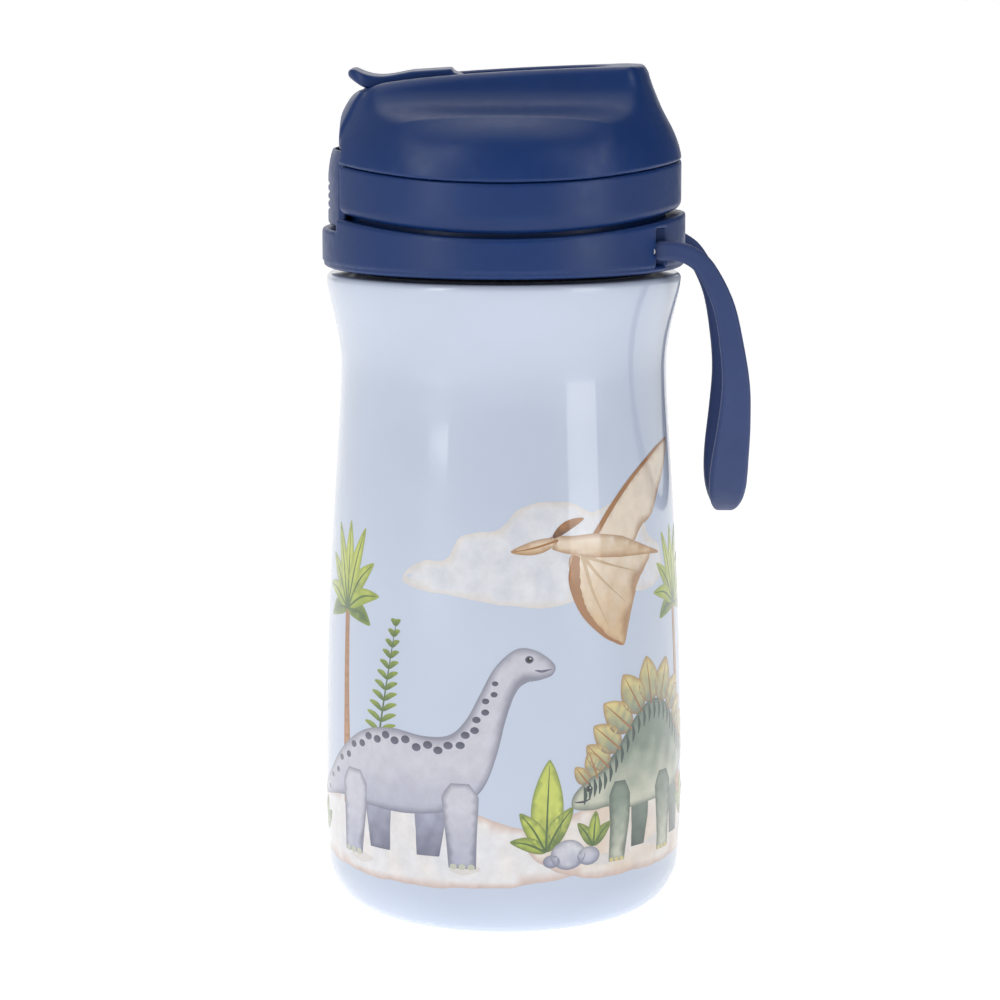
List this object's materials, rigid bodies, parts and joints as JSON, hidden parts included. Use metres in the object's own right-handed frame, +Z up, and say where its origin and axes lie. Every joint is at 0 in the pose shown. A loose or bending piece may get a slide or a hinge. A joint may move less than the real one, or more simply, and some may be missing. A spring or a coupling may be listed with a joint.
{
  "type": "insulated kids water bottle",
  "caption": "Double-wall steel drink bottle with a screw lid, thumb flap over a fold-up straw spout, press catch, collar and soft carry loop.",
  "frame": {"origin": "centre of the base, on the surface it stands on", "axes": "+Z up along the bottle; the thumb tab points along -X and the carry loop hangs at +X; the pictured side faces -Y"},
  "size_m": [0.0899, 0.0768, 0.1805],
  "materials": {
    "body_paint": "gloss enamel with a printed picture",
    "steel": "satin",
    "getter": "dull",
    "lid_plastic": "fine satin",
    "strap_silicone": "soft matt",
    "clear_silicone": "translucent matt",
    "pin_steel": "bright",
    "white_plastic": "gloss",
    "straw_plastic": "translucent"
  },
  "bodies": {
    "bottle": {"outer_shell": "body_paint", "inner_liner": "steel", "liner_floor": "steel", "base_disc": "steel", "vacuum_getter": "getter"},
    "gasket": {"neck_gasket": "clear_silicone"},
    "lid": {"lid_base": "lid_plastic", "lid_dome": "lid_plastic", "strap_collar": "lid_plastic", "strap_pins": "pin_steel", "flap_pin": "pin_steel", "spout_seat": "clear_silicone", "straw_connector": "white_plastic", "straw_tube": "straw_plastic", "air_valve": "clear_silicone", "latch_pin": "pin_steel", "latch_spring": "pin_steel"},
    "flap": {"flap": "lid_plastic", "flap_pad": "clear_silicone"},
    "spout": {"spout": "lid_plastic", "mouth_tip": "clear_silicone"},
    "latch": {"latch_button": "lid_plastic"},
    "strap": {"strap_loop": "strap_silicone"}
  },
  "joints": [
    {"name": "lid_lift", "type": "slide", "parent": "bottle", "child": "gasket", "axis": [0, 0, 1], "range_m": [0, 0.006]},
    {"name": "lid_unscrew", "type": "hinge", "parent": "gasket", "child": "lid", "pos_m": [0, 0, 0.1368], "axis": [0, 0, 1], "range_deg": [0, 540]},
    {"name": "flap_flip", "type": "hinge", "parent": "lid", "child": "flap", "pos_m": [-0.01, 0, 0.17645], "axis": [0, 1, 0], "range_deg": [0, 165]},
    {"name": "spout_rise", "type": "hinge", "parent": "lid", "child": "spout", "pos_m": [-0.013, 0, 0.16595], "axis": [0, 1, 0], "range_deg": [0, 60.01]},
    {"name": "latch_press", "type": "hinge", "parent": "lid", "child": "latch", "pos_m": [-0.0322, 0, 0.16], "axis": [0, -1, 0], "range_deg": [0, 4], "stiffness_Nm_per_rad": 0.02},
    {"name": "strap_swing", "type": "hinge", "parent": "lid", "child": "strap", "pos_m": [0.0304, 0, 0.1426], "axis": [0, -1, 0], "range_deg": [0, 38]}
  ],
  "couplings": [
    {"joint": "lid_lift", "follows": "lid_unscrew", "m_per_rad": 0.00063662},
    {"joint": "spout_rise", "follows": "flap_flip", "ratio": 0.36364}
  ]
}
